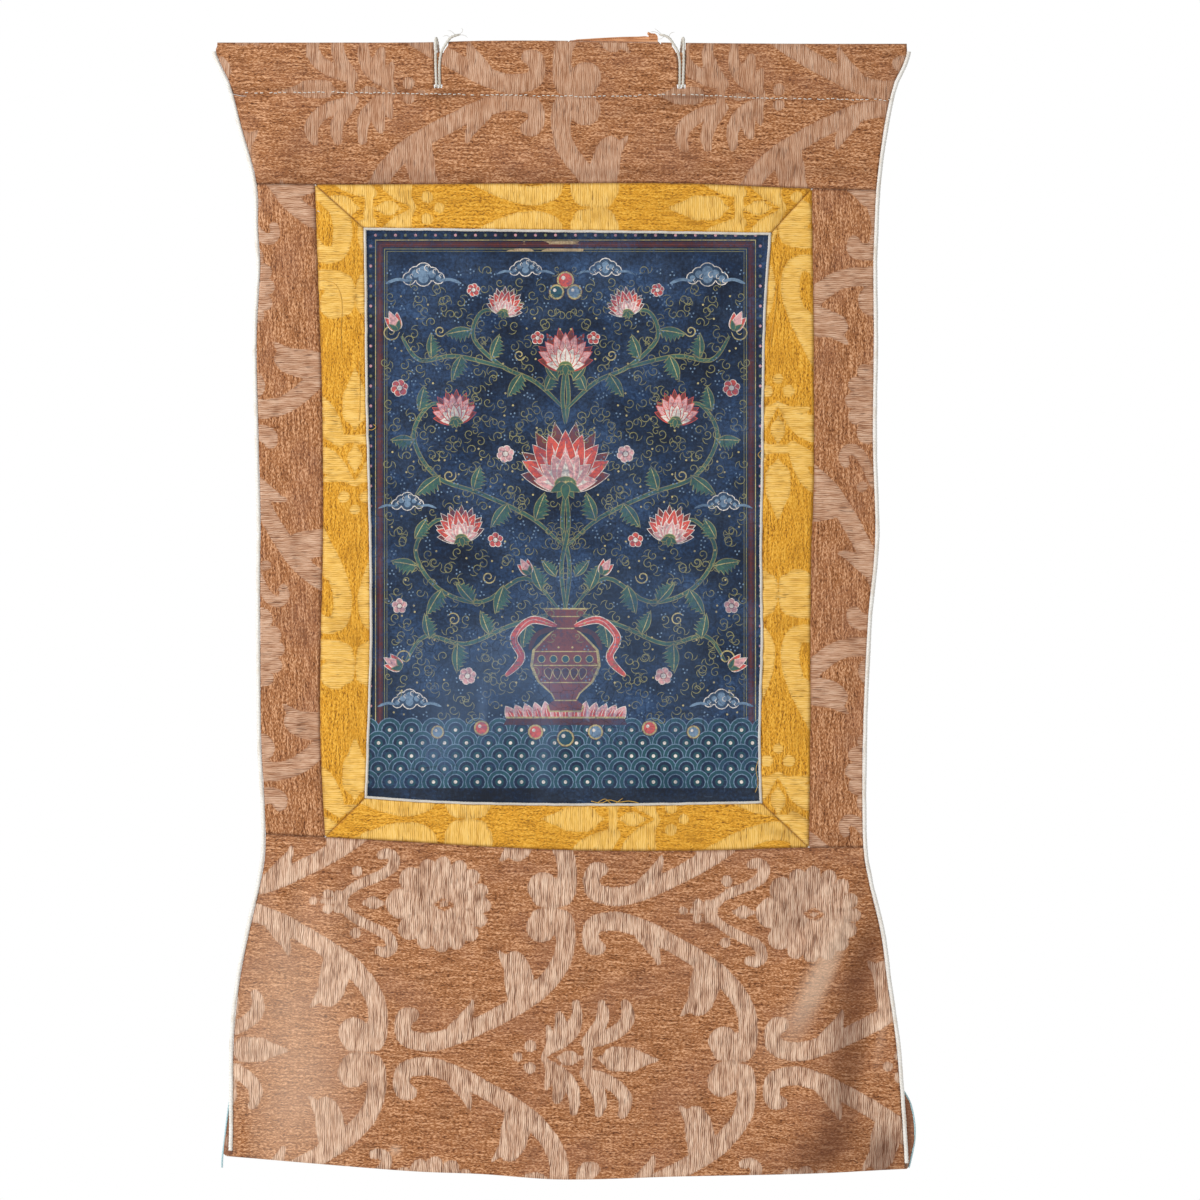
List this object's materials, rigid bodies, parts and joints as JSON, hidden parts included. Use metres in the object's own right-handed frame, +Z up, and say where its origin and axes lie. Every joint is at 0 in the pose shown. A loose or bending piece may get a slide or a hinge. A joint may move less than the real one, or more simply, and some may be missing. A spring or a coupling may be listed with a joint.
{
  "type": "thangka scroll painting with wooden lath",
  "caption": "Hanging scroll painting in mitred gold borders on brown damask that flares at head and foot, with a flat wooden lath in its heading, frayed ties and white edge cords.",
  "frame": {"origin": "middle of the top edge of the heading, where the hanging is held", "axes": "+X to the right as the face is looked at, +Y to the back of the cloth, +Z up along the length of the hanging"},
  "size_m": [0.7025, 0.0168, 1.1481],
  "materials": {
    "brown_damask": "silky",
    "gold_damask": "silky",
    "painted_canvas": "matte",
    "white_cord": "matte",
    "lath_wood": "matte"
  },
  "bodies": {
    "root": {"heading": "brown_damask", "side_strip_left": "brown_damask", "side_strip_right": "brown_damask", "foot_panel": "brown_damask", "border_top": "gold_damask", "border_bottom": "gold_damask", "border_left": "gold_damask", "border_right": "gold_damask", "picture": "painted_canvas", "piping_left": "white_cord", "piping_right": "white_cord", "piping_top": "white_cord", "piping_bottom": "white_cord", "edge_cord_left": "white_cord", "edge_cord_right": "white_cord", "tie_left": "white_cord", "tie_right": "white_cord", "lath": "lath_wood"}
  },
  "joints": []
}
